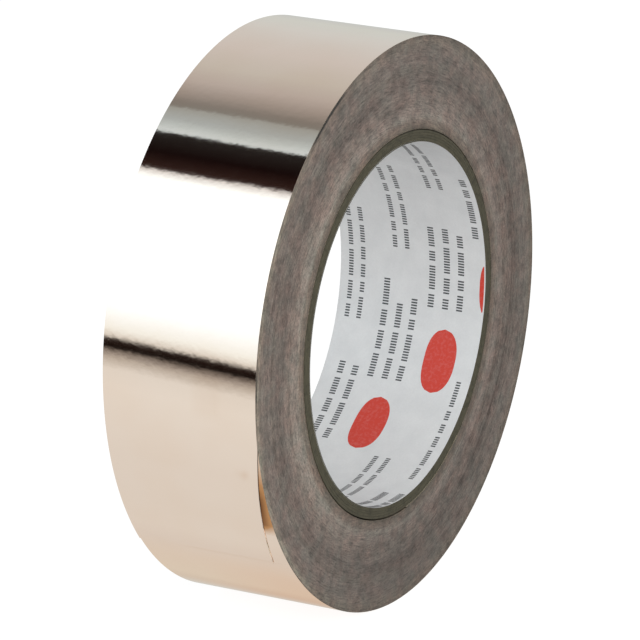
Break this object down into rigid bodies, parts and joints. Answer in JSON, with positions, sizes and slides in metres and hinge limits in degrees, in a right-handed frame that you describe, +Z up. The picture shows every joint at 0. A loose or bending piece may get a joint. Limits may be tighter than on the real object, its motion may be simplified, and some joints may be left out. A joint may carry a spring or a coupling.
{
  "type": "copper foil tape roll",
  "caption": "Roll of adhesive-backed copper foil tape wound on a paperboard core, with a free end that peels up and its release liner parting below it.",
  "frame": {"origin": "on the floor under the roll's axis, at the middle of the tape's width: the centre of the bounding box's lowest face", "axes": "+Z is up with the roll standing on its rim, Y runs along the roll's axis with the near side face at -Y, and the free end lies on the -X side"},
  "size_m": [0.1201, 0.035, 0.1199],
  "materials": {
    "copper_foil": "polished",
    "adhesive_film": "satin",
    "release_liner": "matte",
    "wound_tape": "satin",
    "core_board": "matte",
    "core_paper": "satin",
    "starter_strip": "satin"
  },
  "bodies": {
    "roll": {"core_inner_ply": "core_paper", "core_board_ply_1": "core_board", "core_board_ply_2": "core_board", "core_board_ply_3": "core_board", "core_board_ply_4": "core_board", "core_starter_strip": "starter_strip", "first_turn_foil": "copper_foil", "first_turn_adhesive": "adhesive_film", "first_turn_liner": "release_liner", "wound_turns": "wound_tape", "last_turn_foil": "copper_foil", "last_turn_adhesive": "adhesive_film", "last_turn_liner": "release_liner"},
    "free_end_1": {"free_end_foil_1": "copper_foil", "free_end_adhesive_1": "adhesive_film"},
    "free_end_2": {"free_end_foil_2": "copper_foil", "free_end_adhesive_2": "adhesive_film"},
    "free_end_3": {"free_end_foil_3": "copper_foil", "free_end_adhesive_3": "adhesive_film"},
    "free_end_4": {"free_end_foil_4": "copper_foil", "free_end_adhesive_4": "adhesive_film"},
    "free_end_5": {"free_end_foil_5": "copper_foil", "free_end_adhesive_5": "adhesive_film"},
    "free_end_6": {"free_end_foil_6": "copper_foil", "free_end_adhesive_6": "adhesive_film"},
    "free_liner_1": {"free_end_liner_1": "release_liner"},
    "free_liner_2": {"free_end_liner_2": "release_liner"},
    "free_liner_3": {"free_end_liner_3": "release_liner"},
    "free_liner_4": {"free_end_liner_4": "release_liner"},
    "free_liner_5": {"free_end_liner_5": "release_liner"},
    "free_liner_6": {"free_end_liner_6": "release_liner"}
  },
  "joints": [
    {"name": "free_end_peel", "type": "hinge", "parent": "roll", "child": "free_end_1", "pos_m": [-0.0406, 0, 0.10422], "axis": [0, 1, 0], "range_deg": [0, 18]},
    {"name": "free_end_bend_2", "type": "hinge", "parent": "free_end_1", "child": "free_end_2", "pos_m": [-0.05069, 0, 0.09221], "axis": [0, 1, 0], "range_deg": [0, 18]},
    {"name": "free_end_bend_3", "type": "hinge", "parent": "free_end_2", "child": "free_end_3", "pos_m": [-0.05733, 0, 0.07799], "axis": [0, 1, 0], "range_deg": [0, 18]},
    {"name": "free_end_bend_4", "type": "hinge", "parent": "free_end_3", "child": "free_end_4", "pos_m": [-0.06007, 0, 0.06253], "axis": [0, 1, 0], "range_deg": [0, 18]},
    {"name": "free_end_bend_5", "type": "hinge", "parent": "free_end_4", "child": "free_end_5", "pos_m": [-0.05871, 0, 0.0469], "axis": [0, 1, 0], "range_deg": [0, 18]},
    {"name": "free_end_bend_6", "type": "hinge", "parent": "free_end_5", "child": "free_end_6", "pos_m": [-0.05335, 0, 0.03214], "axis": [0, 1, 0], "range_deg": [0, 18]},
    {"name": "liner_peel", "type": "hinge", "parent": "roll", "child": "free_liner_1", "pos_m": [-0.04054, 0, 0.10415], "axis": [0, 1, 0], "range_deg": [0, 9]},
    {"name": "liner_bend_2", "type": "hinge", "parent": "free_liner_1", "child": "free_liner_2", "pos_m": [-0.05061, 0, 0.09216], "axis": [0, 1, 0], "range_deg": [0, 9]},
    {"name": "liner_bend_3", "type": "hinge", "parent": "free_liner_2", "child": "free_liner_3", "pos_m": [-0.05724, 0, 0.07796], "axis": [0, 1, 0], "range_deg": [0, 9]},
    {"name": "liner_bend_4", "type": "hinge", "parent": "free_liner_3", "child": "free_liner_4", "pos_m": [-0.05997, 0, 0.06253], "axis": [0, 1, 0], "range_deg": [0, 9]},
    {"name": "liner_bend_5", "type": "hinge", "parent": "free_liner_4", "child": "free_liner_5", "pos_m": [-0.05861, 0, 0.04692], "axis": [0, 1, 0], "range_deg": [0, 9]},
    {"name": "liner_bend_6", "type": "hinge", "parent": "free_liner_5", "child": "free_liner_6", "pos_m": [-0.05326, 0, 0.03219], "axis": [0, 1, 0], "range_deg": [0, 9]}
  ],
  "couplings": [
    {"joint": "free_end_bend_2", "follows": "free_end_peel", "ratio": 1},
    {"joint": "free_end_bend_3", "follows": "free_end_peel", "ratio": 1},
    {"joint": "free_end_bend_4", "follows": "free_end_peel", "ratio": 1},
    {"joint": "free_end_bend_5", "follows": "free_end_peel", "ratio": 1},
    {"joint": "free_end_bend_6", "follows": "free_end_peel", "ratio": 1},
    {"joint": "liner_peel", "follows": "free_end_peel", "ratio": 0.5},
    {"joint": "liner_bend_2", "follows": "free_end_peel", "ratio": 0.5},
    {"joint": "liner_bend_3", "follows": "free_end_peel", "ratio": 0.5},
    {"joint": "liner_bend_4", "follows": "free_end_peel", "ratio": 0.5},
    {"joint": "liner_bend_5", "follows": "free_end_peel", "ratio": 0.5},
    {"joint": "liner_bend_6", "follows": "free_end_peel", "ratio": 0.5}
  ]
}
